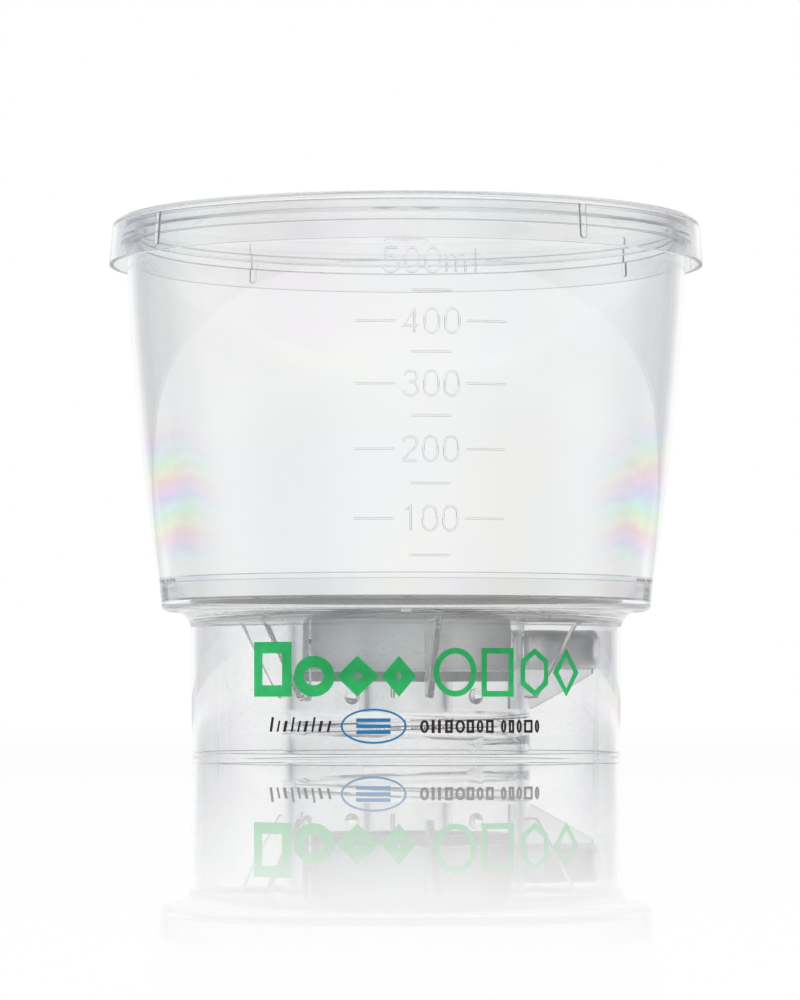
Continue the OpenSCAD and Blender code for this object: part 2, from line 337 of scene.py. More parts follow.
def wrapped(name, vertices, faces, material, spot, inner, outer, top=None):
    """Solid from a flat (s, z) drawing, bent round the axis between two radii.

    s runs along the arc from the direction spot; inner and outer give radii at a height.
    top is the drawing's own points on the outer side, where they differ.
    """
    bm = bmesh.new()
    layers = []
    for radius, points in ((inner, vertices), (outer, top or vertices)):
        layer = []
        for s_mm, z in points:
            r = radius(z)
            a = spot + s_mm / outer(z)
            layer.append(bm.verts.new(place_at(r, a, z)))
        layers.append(layer)
    uses = {}
    for face in faces:
        bm.faces.new([layers[1][i] for i in face])
        bm.faces.new([layers[0][i] for i in reversed(face)])
        for k, i in enumerate(face):
            j = face[(k + 1) % len(face)]
            uses.setdefault(frozenset((i, j)), []).append((i, j))
    for edges in uses.values():
        if len(edges) == 1:
            i, j = edges[0]
            bm.faces.new((layers[1][j], layers[1][i], layers[0][i], layers[0][j]))
    return closed_mesh(name, bm, material)


def strip(outline_low, outline_high):
    """Drawing of a band between two runs of points with the same number of points."""
    n = len(outline_low)
    return (list(outline_low) + list(outline_high),
            [(i, i + 1, n + i + 1, n + i) for i in range(n - 1)])


def joined(name, pieces, material):
    """One object from several meshes, which are removed."""
    mesh = bpy.data.meshes.new(name)
    bm = bmesh.new()
    for piece in pieces:
        bm.from_mesh(piece.data)
        bpy.data.objects.remove(piece)
    bm.to_mesh(mesh)
    bm.free()
    return new_object(name, mesh, material)


def turned(piece, angle):
    """Turns a mesh about the axis of the unit."""
    piece.data.transform(Matrix.Rotation(angle, 4, "Z"))
    return piece


def combine(target, tools, operation):
    """Adds the tools to the target, or cuts them out, and removes them."""
    for tool in tools:
        change = target.modifiers.new("combine", "BOOLEAN")
        change.operation = operation
        change.solver = "MANIFOLD"
        change.object = tool
    bpy.context.view_layer.update()
    graph = bpy.context.evaluated_depsgraph_get()
    mesh = bpy.data.meshes.new_from_object(target.evaluated_get(graph))
    target.modifiers.clear()
    target.data = mesh
    for tool in tools:
        bpy.data.objects.remove(tool)


def finish_mesh(piece, angle=SHARP_ANGLE):
    """Smooth shading that stays sharp over the edges."""
    piece.data.polygons.foreach_set("use_smooth", [True] * len(piece.data.polygons))
    piece.data.set_sharp_from_angle(angle=angle)
    normals = piece.modifiers.new("normals", "WEIGHTED_NORMAL")
    normals.mode = "FACE_AREA"
    normals.weight = 70
    normals.keep_sharp = True


# Materials

POLYSTYRENE_IOR = 1.59
PASTELS = ((0.0, (1.0, 1.0, 1.0)), (0.42, (0.86, 0.93, 1.0)), (0.5, (0.86, 1.0, 0.9)),
           (0.58, (1.0, 0.98, 0.84)), (0.66, (1.0, 0.86, 0.94)), (0.8, (1.0, 1.0, 1.0)))
FROST = 0.3  # roughness of the frosted zones
PORT_PAINTED_SHADE = (0.86, 0.86, 0.87)  # painted shade: the port's zone is coloured this much darker, standing in for the grey the tube shows
GRAIN_DEPTH = 0.0001
BANDS_PER_M = 95.0


def material(name):
    made = bpy.data.materials.new(name)
    made.use_nodes = True
    return made, made.node_tree, made.node_tree.nodes["Principled BSDF"]


def feed(tree, value, socket):
    """Sets a socket to a number or colour, or links another socket to it."""
    if isinstance(value, (int, float)):
        socket.default_value = value
    elif isinstance(value, tuple):
        socket.default_value = (*value, 1.0)
    else:
        tree.links.new(value, socket)


def maths(tree, operation, first, second=0.0):
    node = tree.nodes.new("ShaderNodeMath")
    node.operation = operation
    feed(tree, first, node.inputs[0])
    feed(tree, second, node.inputs[1])
    return node.outputs[0]


def product(tree, first, *others):
    for other in others:
        first = maths(tree, "MULTIPLY", first, other)
    return first


def ranged(tree, value, low, high, start=0.0, end=1.0, smooth=False):
    """Runs from start to end while the value runs from low to high."""
    node = tree.nodes.new("ShaderNodeMapRange")
    node.interpolation_type = "SMOOTHSTEP" if smooth else "LINEAR"
    for name, number in (("From Min", low), ("From Max", high), ("To Min", start), ("To Max", end)):
        node.inputs[name].default_value = number
    tree.links.new(value, node.inputs["Value"])
    return node.outputs["Result"]


def ramped(tree, value, stops, smooth=False):
    """Colour read off between stops, each a position and a colour."""
    node = tree.nodes.new("ShaderNodeValToRGB")
    node.color_ramp.interpolation = "EASE" if smooth else "LINEAR"
    elements = node.color_ramp.elements
    while len(elements) < len(stops):
        elements.new(0.5)
    for element, (at, shade) in zip(elements, stops):
        element.position = at
        element.color = (*shade, 1.0)
    tree.links.new(value, node.inputs["Fac"])
    return node.outputs["Color"]


def mixed(tree, factor, first, second, blend="MIX"):
    """Colour between two others."""
    node = tree.nodes.new("ShaderNodeMix")
    node.data_type = "RGBA"
    node.blend_type = blend
    feed(tree, factor, node.inputs["Factor"])
    feed(tree, first, node.inputs[6])
    feed(tree, second, node.inputs[7])
    return node.outputs[2]


def own_place(tree):
    """Position in the piece's own coordinates."""
    return tree.nodes.new("ShaderNodeTexCoord").outputs["Object"]


def split(tree, vector):
    node = tree.nodes.new("ShaderNodeSeparateXYZ")
    tree.links.new(vector, node.inputs[0])
    return node.outputs


def length(tree, vector):
    node = tree.nodes.new("ShaderNodeVectorMath")
    node.operation = "LENGTH"
    tree.links.new(vector, node.inputs[0])
    return node.outputs["Value"]


def flat_length(tree, x, y):
    """Distance from the middle in a plane."""
    node = tree.nodes.new("ShaderNodeCombineXYZ")
    tree.links.new(x, node.inputs["X"])
    tree.links.new(y, node.inputs["Y"])
    return length(tree, node.outputs[0])


def noise(tree, scale, detail=2.0):
    node = tree.nodes.new("ShaderNodeTexNoise")
    node.inputs["Scale"].default_value = scale
    node.inputs["Detail"].default_value = detail
    tree.links.new(own_place(tree), node.inputs["Vector"])
    return node.outputs["Fac"]


def clear_plastic(name, colour, tint):
    """Clear polystyrene with a slow, faint drift of pastel colour."""
    made, tree, shader = material(name)
    shader.inputs["Transmission Weight"].default_value = 1.0
    shader.inputs["IOR"].default_value = POLYSTYRENE_IOR
    shader.inputs["Roughness"].default_value = 0.0
    pastel = ramped(tree, noise(tree, 22.0, 1.0), PASTELS, smooth=True)
    tree.links.new(mixed(tree, tint, colour, pastel), shader.inputs["Base Color"])
    return made


def frosted_boss(made):
    """Roughens the moulding where the boss backs the seal, and along the port's tube, and darkens the port's
    zone with painted shade.
    """
    tree = made.node_tree
    place = own_place(tree)
    shader = tree.nodes["Principled BSDF"]
    bore_r = SKIRT_TOP_R - SKIRT_WALL

    def step(value, low, high):
        return ranged(tree, value, low * MM, high * MM)

    turn = tree.nodes.new("ShaderNodeVectorRotate")
    turn.rotation_type = "Z_AXIS"
    turn.inputs["Angle"].default_value = -PORT_ANGLE
    tree.links.new(place, turn.inputs["Vector"])
    along = split(tree, turn.outputs[0])
    tube = product(tree, step(along["X"], COLLAR_R + 0.1, COLLAR_R + 0.6),
                   step(along["X"], bore_r - 0.2, bore_r - 0.6),
                   step(maths(tree, "ABSOLUTE", along["Y"]), PORT_R + 0.5, PORT_R + 0.1),
                   step(along["Z"], PORT_Z + PORT_R + 1.0, PORT_Z + PORT_R + 0.4))
    from_port = flat_length(tree, along["Y"], maths(tree, "SUBTRACT", along["Z"], PORT_Z * MM))
    mouth = product(tree, step(from_port, PORT_R + 0.3, PORT_R - 0.1),
                    step(along["X"], bore_r - 1.0, bore_r - 0.5))
    port = maths(tree, "MAXIMUM", tube, mouth)
    parts = split(tree, place)
    reach = flat_length(tree, parts["X"], parts["Y"])
    boss = product(tree, step(reach, BOSS_BORE_R - 0.6, BOSS_BORE_R - 0.2),
                   step(reach, BOSS_R + 0.5, BOSS_R + 0.1),
                   step(parts["Z"], seal_high.z - 0.4, seal_high.z + 0.6))
    frosted = maths(tree, "MAXIMUM", boss, port)
    tree.links.new(product(tree, frosted, FROST), shader.inputs["Roughness"])
    plain = shader.inputs["Base Color"].links[0].from_socket
    # Painted shade: the port's zone is multiplied darker, standing in for the grey the tube shows
    tree.links.new(mixed(tree, port, plain, PORT_PAINTED_SHADE, "MULTIPLY"), shader.inputs["Base Color"])


def mottled(tree, grain, colour, spread):
    """The colour, up to the given share darker where the grain is low."""
    dark = tuple(c * (1 - spread) for c in colour)
    return ramped(tree, grain, ((0.3, dark), (0.7, colour)))


def matt(name, colour, spread, scale, roughness, bump):
    """Opaque matt material with a fine mottle."""
    made, tree, shader = material(name)
    shader.inputs["Roughness"].default_value = roughness
    grain = noise(tree, scale, 6.0)
    tree.links.new(mottled(tree, grain, colour, spread), shader.inputs["Base Color"])
    relief = tree.nodes.new("ShaderNodeBump")
    relief.inputs["Strength"].default_value = bump
    relief.inputs["Distance"].default_value = GRAIN_DEPTH
    tree.links.new(grain, relief.inputs["Height"])
    tree.links.new(relief.outputs["Normal"], shader.inputs["Normal"])
    return made


def printed(name, colour, see_through):
    """Ink with a faint mottle that lets a little light through."""
    made, tree, shader = material(name)
    shader.inputs["Roughness"].default_value = 0.45
    shader.inputs["Transmission Weight"].default_value = see_through
    shader.inputs["IOR"].default_value = 1.2
    tree.links.new(mottled(tree, noise(tree, 700.0), colour, 0.12), shader.inputs["Base Color"])
    return made


def film_look(name):
    """Clear film stuck to the skirt, with a fine stipple from its adhesive."""
    made, tree, shader = material(name)
    shader.inputs["Transmission Weight"].default_value = 1.0
    shader.inputs["IOR"].default_value = 1.12
    shader.inputs["Roughness"].default_value = 0.03
    dots = ramped(tree, noise(tree, 2600.0), ((0.3, (0.86, 0.86, 0.87)), (0.42, (0.98, 0.98, 0.98))))
    tree.links.new(dots, shader.inputs["Base Color"])
    return made


def stress_colours(made, depth, z_low, z_high, start):
    """Painted light: wavy pastel bands at the two sides, between two heights, standing in for the colours
    that moulding stress shows in light passing through there.
    """
    tree = made.node_tree
    shader = tree.nodes["Principled BSDF"]
    parts = split(tree, own_place(tree))

    def ease(value, low, high):
        return ranged(tree, value, low * MM, high * MM, smooth=True)

    rise = product(tree, parts["Z"], BANDS_PER_M)
    bend = maths(tree, "ADD", product(tree, noise(tree, 75.0, 0.5), 0.55),
                 product(tree, noise(tree, 25.0, 0.0), 1.2))
    hue = maths(tree, "FRACT", maths(tree, "ADD", rise, bend))
    # The painted light sits at the ±X sides, where the wall is seen at a slant from the front
    side = ease(maths(tree, "ABSOLUTE", parts["X"]), start, start + 9)
    height = product(tree, ease(parts["Z"], z_low - 5, z_low + 3), ease(parts["Z"], z_high + 8, z_high - 8))
    colour = tree.nodes.new("ShaderNodeCombineColor")
    colour.mode = "HSV"
    tree.links.new(hue, colour.inputs[0])
    tree.links.new(product(tree, side, height, depth), colour.inputs[1])
    colour.inputs[2].default_value = 1.0
    plain = shader.inputs["Base Color"].links[0].from_socket
    tree.links.new(mixed(tree, 1.0, plain, colour.outputs[0], "MULTIPLY"), shader.inputs["Base Color"])


clear_base = clear_plastic("clear_base", (0.985, 0.987, 0.99), 0.08)
frosted_boss(clear_base)
clear_funnel = clear_plastic("clear_funnel", (0.975, 0.977, 0.98), 0.1)
# Painted light: stress colours on the funnel's and the base's sides
stress_colours(clear_funnel, 0.15, 41, 62, 38)
stress_colours(clear_base, 0.08, 8, 22, 36)
clear_lid = clear_plastic("clear_lid", (0.975, 0.978, 0.985), 0.08)
clear_film = film_look("clear_film")
ink_green = printed("ink_green", (0.09, 0.86, 0.3), 0.7)
ink_dark = printed("ink_dark", (0.05, 0.035, 0.045), 0.0)
ink_blue = printed("ink_blue", (0.06, 0.4, 0.78), 0.55)
white_membrane = matt("white_membrane", (0.9, 0.9, 0.88), 0.04, 900.0, 0.85, 0.2)
seal_rubber = matt("seal_rubber", (0.82, 0.83, 0.83), 0.06, 400.0, 0.5, 0.1)
plug_fibre = matt("plug_fibre", (0.95, 0.95, 0.94), 0.1, 1500.0, 0.95, 0.6)
plug_shader = plug_fibre.node_tree.nodes["Principled BSDF"]
plug_shader.inputs["Transmission Weight"].default_value = 0.75
plug_shader.inputs["IOR"].default_value = 1.15


# Pieces

def drain_section():
    """Section of the floor's top from the spout out to the field's edge, with its ring ribs."""
    low = FLOOR_TOP - DRAIN_DEPTH
    points = [(SPOUT_BORE_R, low)]
    radii = []
    r = DRAIN_R - DRAIN_PITCH
    while r > SPOUT_R + DRAIN_PITCH / 2 - 1e-6:
        radii.append(r)
        r -= DRAIN_PITCH
    for r in reversed(radii):
        points += [(r - DRAIN_RIB_W, low), (r - DRAIN_RIB_W, FLOOR_TOP), (r, FLOOR_TOP), (r, low)]
    return points + [(DRAIN_R, low), (DRAIN_R, FLOOR_TOP)]


def base_section():
    """Section of the whole base moulding, without its fins, port and gaps."""
    blend_z = FLOOR_Z - SKIRT_FILLET
    cup_r = LIP_R - CUP_TAPER
    sharp = drain_section() + [(CUP_BORE_R, FLOOR_TOP), (CUP_BORE_R, LIP_Z), (LIP_R, LIP_Z)]
    outside = list(reversed(arc(cup_r - CUP_EDGE_R, FLOOR_Z + CUP_EDGE_R, CUP_EDGE_R, -90, 0)))
    outside += list(reversed(arc(skirt_r(blend_z) + SKIRT_FILLET, blend_z, SKIRT_FILLET, 180, 90)))
    inside = [
        (SKIRT_FOOT_R, FOOT_EDGE_H), (SKIRT_FOOT_R - FOOT_EDGE_IN, FOOT_EDGE_H - FOOT_EDGE_IN),
        (SKIRT_FOOT_R - FOOT_EDGE_IN, 0), (SKIRT_FOOT_R - SKIRT_WALL, 0),
        (skirt_r(FLOOR_Z) - SKIRT_WALL, FLOOR_Z),
        (COLLAR_R, FLOOR_Z), (COLLAR_R, COLLAR_FOOT_Z),
        (COLLAR_BORE_R, COLLAR_FOOT_Z), (COLLAR_BORE_R, FLOOR_Z),
        (BOSS_R, FLOOR_Z), (BOSS_R, seal_high.z), (BOSS_BORE_R, seal_high.z), (BOSS_BORE_R, FLOOR_Z),
        (SPOUT_R, FLOOR_Z), (SPOUT_R, SPOUT_TIP_Z), (SPOUT_BORE_R, SPOUT_TIP_Z),
    ]
    return sharp + outside + rounded_run(inside, JOINT_EDGE)


def rounded_run(points, radius):
    """Rounds the inner corners of an open run of points, leaving its two ends."""
    return rounded([points[0], *points, points[-1]], radius)


def make_thread():
    """Right-handed ridge inside the collar, thinning out at both ends."""
    bm = bmesh.new()
    steps = int(SEGMENTS * THREAD_TURNS)
    root_r = COLLAR_BORE_R + 0.2
    rings = []
    for k in range(steps + 1):
        share = k / steps
        fade = min(1.0, share * 5, (1 - share) * 5)
        fade = max(0.05, math.sin(fade * math.pi / 2))
        angle = math.radians(-60) + TURN * THREAD_TURNS * share
        z = THREAD_LOW_Z + THREAD_PITCH * THREAD_TURNS * share
        crest = COLLAR_BORE_R + 0.05 - (COLLAR_BORE_R - THREAD_CREST_R) * fade
        spread = 0.35 + 0.8 * fade
        points = [(root_r, z - spread), (COLLAR_BORE_R, z - spread)]
        points += [(crest + 0.25 * fade, z - spread / 2), (crest, z - spread / 5), (crest, z + spread / 5),
                   (crest + 0.25 * fade, z + spread / 2)]
        points += [(COLLAR_BORE_R, z + spread), (root_r, z + spread)]
        rings.append([bm.verts.new(place_at(r, angle, h)) for r, h in points])
    for a, b in zip(rings, rings[1:]):
        for i in range(len(a)):
            n = (i + 1) % len(a)
            bm.faces.new((a[i], a[n], b[n], b[i]))
    bm.faces.new(rings[0])
    bm.faces.new(list(reversed(rings[-1])))
    return closed_mesh("thread", bm, clear_base)


def ball(name, r, z, angle, size, look):
    """Ball-like pad at radius r: size is its radial, sideways and upright half width."""
    mesh = bpy.data.meshes.new(name)
    bm = bmesh.new()
    bmesh.ops.create_uvsphere(bm, u_segments=48, v_segments=24, radius=1.0)
    bm.to_mesh(mesh)
    bm.free()
    mesh.transform(Matrix.Diagonal((*[v * MM for v in size], 1.0)))
    mesh.transform(Matrix.Translation((r * MM, 0, z * MM)))
    return turned(new_object(name, mesh, look), angle)


def back_panel():
    """Solid that sinks the shallow panel into the inside of the skirt's back."""
    top, half, corner = PANEL_H, PANEL_HALF_W, PANEL_CORNER
    outline = [(-half, -1)] + [(x, z) for x, z in arc(corner - half, top - corner, corner, 180, 90)]
    outline += [(x, z) for x, z in arc(half - corner, top - corner, corner, 90, 0)] + [(half, -1)]
    block = prism("panel", outline, 100, clear_base)
    block.data.transform(Matrix.Translation((0, 50 * MM, 0)))
    inner = SKIRT_FOOT_R - SKIRT_WALL
    ring = lathe("panel_ring", [(inner - 1, -1.5), (inner + PANEL_DEPTH, -1.5),
                                (skirt_r(12) - SKIRT_WALL + PANEL_DEPTH, 12), (inner - 1, 12)], clear_base)
    combine(block, [ring], "INTERSECT")
    return block


def drain_gap(angle):
    """Bar that opens the drain ribs along one line through the middle."""
    low = FLOOR_TOP - DRAIN_DEPTH - CLEAR
    high = FLOOR_TOP + 1
    ends = []
    for side in (-1, 1):
        x0, x1 = sorted((side * SPOUT_R, side * (DRAIN_R - CLEAR)))
        ends.append(prism("gap", [(x0, low), (x1, low), (x1, high), (x0, high)], DRAIN_GAP_W, clear_base))
    return [turned(end, angle) for end in ends]


def make_base():
    """Base moulding with fins, pips, thread and port added and its gaps cut."""
    section = base_section()
    cleaned = [p for i, p in enumerate(section) if (Vector(p) - Vector(section[i - 1])).length > 1e-4]
    base = lathe("base_moulding", cleaned, clear_base)
    root_r = (COLLAR_R + COLLAR_BORE_R) / 2
    top_z = FLOOR_Z + 0.5
    additions = []
    for k in range(1, PLACE_COUNT):
        angle = PLACE_ANGLE + TURN * k / PLACE_COUNT
        fin = fin_plate(FIN_FOOT_R, FIN_FOOT_Z, FIN_TOP_R, top_z, root_r, FIN_T, clear_base)
        additions.append(turned(fin, angle))
        if k in PAD_PLACES:
            pad = ball("pad", COLLAR_R + 0.35, FIN_FOOT_Z + 0.3, angle, (PAD_R, PAD_R, PAD_R), clear_base)
            additions.append(pad)
    for angle in PIP_ANGLES:
        additions.append(ball("pip", COLLAR_R, PIP_Z, angle, (PIP_OUT, PIP_R, PIP_R), clear_base))
    additions.append(make_thread())
    tip_r = skirt_r(PORT_Z) - SKIRT_WALL / 2
    start_r = (BOSS_R + BOSS_BORE_R) / 2
    tube = rod("tube", PORT_R, start_r, tip_r, PORT_Z, clear_base)
    web = prism("web", [(root_r, WEB_FOOT_Z), (WEB_FOOT_R, WEB_FOOT_Z), (tip_r, WEB_TIP_Z),
                        (tip_r, PORT_Z), (root_r, PORT_Z)], FIN_T, clear_base)
    additions += [turned(tube, PORT_ANGLE), turned(web, PORT_ANGLE)]
    combine(base, additions, "UNION")
    bore = rod("bore", PORT_BORE_R, BOSS_BORE_R - 1, SKIRT_TOP_R + 2, PORT_Z, clear_base)
    cuts = [turned(bore, PORT_ANGLE), back_panel()]
    for k in range(DRAIN_GAPS // 2):
        cuts += drain_gap(TURN * k / DRAIN_GAPS)
    combine(base, cuts, "DIFFERENCE")
    finish_mesh(base)
    return base


# Strokes of the scale's figures, 5 high: whether a stroke is curved, and its points
ZERO = [(True, [(-1.35, 0), (-1.2, 1.35), (-0.65, 2.1), (0, 2.28), (0.65, 2.1), (1.2, 1.35), (1.35, 0),
                (1.2, -1.35), (0.65, -2.1), (0, -2.28), (-0.65, -2.1), (-1.2, -1.35), (-1.35, 0)])]
FIGURES = {
    "0": ZERO,
    "1": [(False, [(-0.8, 1.5), (0.3, 2.28), (0.3, -2.28)])],
    "2": [(True, [(-1.3, 1.2), (-0.95, 2.0), (0, 2.28), (1.0, 1.95), (1.25, 1.05), (0.7, 0.0), (-0.5, -1.15),
                  (-1.35, -2.2)]), (False, [(-1.4, -2.25), (1.4, -2.25)])],
    "3": [(True, [(-1.2, 1.5), (-0.8, 2.1), (0, 2.28), (0.85, 2.0), (1.15, 1.3), (0.8, 0.5), (-0.2, 0.2)]),
          (True, [(-0.2, 0.2), (0.85, -0.05), (1.35, -1.0), (1.0, -1.9), (0, -2.28), (-1.0, -2.0),
                  (-1.4, -1.3)])],
    "4": [(False, [(0.6, -2.28), (0.6, 2.28)]), (False, [(0.6, 2.1), (-1.45, -0.95), (1.45, -0.95)])],
    "5": [(False, [(1.25, 2.25), (-0.9, 2.25), (-1.15, 0.2)]),
          (True, [(-1.15, 0.2), (-0.4, 0.65), (0.4, 0.65), (1.15, 0.15), (1.38, -0.75), (1.0, -1.8),
                  (0, -2.28), (-0.9, -2.05), (-1.4, -1.4)])],
    "m": [(False, [(-1.8, -2.28), (-1.8, 1.1)]),
          (True, [(-1.8, 0.1), (-1.5, 0.8), (-0.9, 1.05), (-0.2, 0.75), (0, 0.0), (0, -1.1), (0, -2.28)]),
          (True, [(0, 0.1), (0.3, 0.8), (0.9, 1.05), (1.6, 0.75), (1.8, 0.0), (1.8, -1.1), (1.8, -2.28)])],
    "l": [(False, [(0, -2.28), (0, 2.28)])],
}
FIGURE_STEP = {"m": 5.0, "l": 2.6}
FIGURE_WIDE = 3.9


def smooth_run(points, steps=6):
    """Catmull-Rom curve through the points."""
    closed = points[0] == points[-1]
    out = []
    last = len(points) - 1
    for i in range(last):
        before = points[i - 1] if i else (points[-2] if closed else points[0])
        after = points[i + 2] if i + 2 <= last else (points[1] if closed else points[-1])
        a, b, c, d = (Vector(p) for p in (before, points[i], points[i + 1], after))
        for k in range(steps):
            t = k / steps
            out.append(tuple(0.5 * (2 * b + (c - a) * t + (2 * a - 5 * b + 4 * c - d) * t * t
                                    + (3 * b - 3 * c + d - a) * t ** 3)))
    return out if closed else out + [points[-1]]


def fine_run(points, step=0.5):
    """The same straight runs with points no further apart than the step."""
    out = []
    for a, b in zip(points, points[1:]):
        n = max(1, round((Vector(b) - Vector(a)).length / step))
        out += [tuple(Vector(a).lerp(Vector(b), k / n)) for k in range(n)]
    return out + [points[-1]]


def ridge(run, closed, middle, z0, spot):
    """Raised stroke with slanted sides on the funnel's outside, along a run of (s, z) points."""
    bm = bmesh.new()
    count = len(run)
    section = ((STROKE_FOOT / 2, -MARK_ROOT), (STROKE_TOP / 2, MARK_OUT), (-STROKE_TOP / 2, MARK_OUT),
               (-STROKE_FOOT / 2, -MARK_ROOT))
    rings = []
    for i, point in enumerate(run):
        here = Vector(point)
        ahead = Vector(run[(i + 1) % count]) if closed or i + 1 < count else None
        behind = Vector(run[i - 1]) if closed or i else None
        ways = [w.normalized() for w in (ahead and ahead - here, behind and here - behind) if w]
        way = sum(ways, Vector((0, 0))).normalized()
        normal = Vector((-way.y, way.x))
        stretch = 1 / max(0.5, normal.dot(Vector((-ways[0].y, ways[0].x))))
        ring = []
        for across, out in section:
            s_mm, dz = here + normal * across * stretch
            z = z0 + dz
            r = funnel_r(z) + out
            a = spot + (middle + s_mm) / funnel_r(z0)
            ring.append(bm.verts.new(place_at(r, a, z)))
        rings.append(ring)
    pairs = list(zip(rings, rings[1:])) + ([(rings[-1], rings[0])] if closed else [])
    for one, two in pairs:
        for k in range(4):
            n = (k + 1) % 4
            bm.faces.new((one[k], one[n], two[n], two[k]))
    if not closed:
        bm.faces.new(rings[0])
        bm.faces.new(list(reversed(rings[-1])))
    return closed_mesh("stroke", bm, clear_funnel)


def number(text, z, spot):
    """Strokes of a number centred on height z."""
    widths = [FIGURE_STEP.get(figure, FIGURE_WIDE) for figure in text]
    left = -sum(widths) / 2
    strokes = []
    for figure, width in zip(text, widths):
        for curved, points in FIGURES[figure]:
            closed = points[0] == points[-1]
            run = smooth_run(points) if curved else fine_run(points)
            strokes.append(ridge(run, closed, left + width / 2, z, spot))
        left += width
    return strokes


def scale_relief():
    """Raised marks and numbers on the funnel's outside."""
    spot = FRONT + SCALE_TURN
    pieces = []

    def line(z, middle):
        pieces.append(ridge(fine_run([(-MARK_LEN / 2, 0), (MARK_LEN / 2, 0)], 1.0), False, middle, z, spot))

    for ml, z in mark_heights().items():
        if ml % STEP_ML:
            line(z, 0)
            continue
        side = MARK_SIDE_TOP if ml == VOLUME_ML else MARK_SIDE
        line(z, -side)
        line(z, side)
        text = f"{ml}ml" if ml == VOLUME_ML else str(ml)
        pieces += number(text, z, spot)
    return pieces


def make_funnel():
    """Bulged, tapered funnel with its bead, and the scale on its outside."""
    steps = 28
    heights = [LIP_Z + (RIM_Z - LIP_Z) * i / steps for i in range(steps + 1)]
    ledge_z = LIP_Z + LEDGE_H
    bore_r = SPIGOT_R - SPIGOT_WALL
    bead_top = RIM_Z - BEAD_DROP
    outer = [(funnel_r(z), z) for z in heights if z < bead_top - BEAD_H]
    bead = [(funnel_r(bead_top - BEAD_H), bead_top - BEAD_H), (BEAD_R, bead_top - BEAD_H),
            (BEAD_R, bead_top), (funnel_r(bead_top), bead_top)]
    inner = [(funnel_r(z) - FUNNEL_WALL, z) for z in reversed(heights) if z > ledge_z]
    section = (
        [(bore_r, funnel_low.z), (SPIGOT_R, funnel_low.z), (SPIGOT_R, LIP_Z - WELD),
         (LIP_R, LIP_Z - WELD)] + outer[1:] + bead
        + [(RIM_R, RIM_Z)] + inner + [(funnel_r(ledge_z) - FUNNEL_WALL, ledge_z), (bore_r, ledge_z)]
    )
    # Crisp edges at the foot and softer ones at the rim
    split_z = ledge_z + 2
    crisp = rounded(section, JOINT_EDGE)
    half = len(crisp) // 2
    outward = [p for p in crisp[:half] if p[1] < split_z]
    inward = [p for p in crisp[half:] if p[1] < split_z]
    soft = [p for p in rounded(section, EDGE_R) if p[1] >= split_z]
    funnel = lathe("funnel_moulding", outward + soft + inward, clear_funnel)
    combine(funnel, scale_relief(), "UNION")
    finish_mesh(funnel)
    return funnel


def make_lid():
    """Lid with a sunk panel, a dimple at the gate and four centring ribs."""
    edge_r = LID_SKIRT_BORE_R + LID_SKIRT_T - LID_T
    top = RIM_Z + LID_T
    stack_top = lid_high.z
    foot_z = lid_low.z
    sphere_r = (DIMPLE_R ** 2 + DIMPLE_H ** 2) / (2 * DIMPLE_H)
    reach = math.degrees(math.asin(DIMPLE_R / sphere_r))
    under = arc(0, PANEL_Z - DIMPLE_H + sphere_r, sphere_r, -90, -90 + reach)
    over = [(r, z + LID_T) for r, z in reversed(under)]
    seat_z = RIM_Z + LID_AIR
    section = under + [
        (PLUG_WALL_R, PANEL_Z), (PLUG_WALL_R, seat_z), (LID_SKIRT_BORE_R, seat_z),
        (LID_FOOT_R - LID_SKIRT_T, foot_z), (LID_FOOT_R, foot_z),
    ] + arc(edge_r, RIM_Z, LID_T, 0, 90)[:-1] + [
        (edge_r, top),
    ] + [
        (edge_r - STACK_W * (1 - math.cos(math.pi * i / 12)) / 2,
         top + (stack_top - top) * math.sin(math.pi * i / 12)) for i in range(1, 12)
    ] + [
        (edge_r - STACK_W, top),
    ] + arc(PLUG_WALL_R, RIM_Z, LID_T, 90, 180) + [
        (PLUG_WALL_R - LID_T, PANEL_Z + LID_T),
    ] + over
    lid = lathe("lid_moulding", rounded(section, EDGE_R), clear_lid)

    def wall_r(z):
        flare = LID_FOOT_R - LID_SKIRT_T - LID_SKIRT_BORE_R
        return LID_SKIRT_BORE_R + flare * (RIM_Z - z) / (RIM_Z - foot_z)

    ribs = []
    for k in range(LID_RIBS):
        rib = ball("rib", 0, foot_z + LID_RIB_W, 0, (LID_RIB_T, LID_RIB_W / 2, LID_RIB_W / 2), clear_lid)
        for vertex in rib.data.vertices:
            if vertex.co.z > (foot_z + LID_RIB_W) * MM:
                vertex.co.z += (RIM_Z - foot_z - LID_RIB_W) * MM
            vertex.co.x += wall_r(min(vertex.co.z / MM, RIM_Z)) * MM
        ribs.append(turned(rib, LID_RIB_ANGLE + TURN * k / LID_RIBS))
    combine(lid, [joined("ribs", ribs, clear_lid)], "UNION")
    finish_mesh(lid)
    return lid


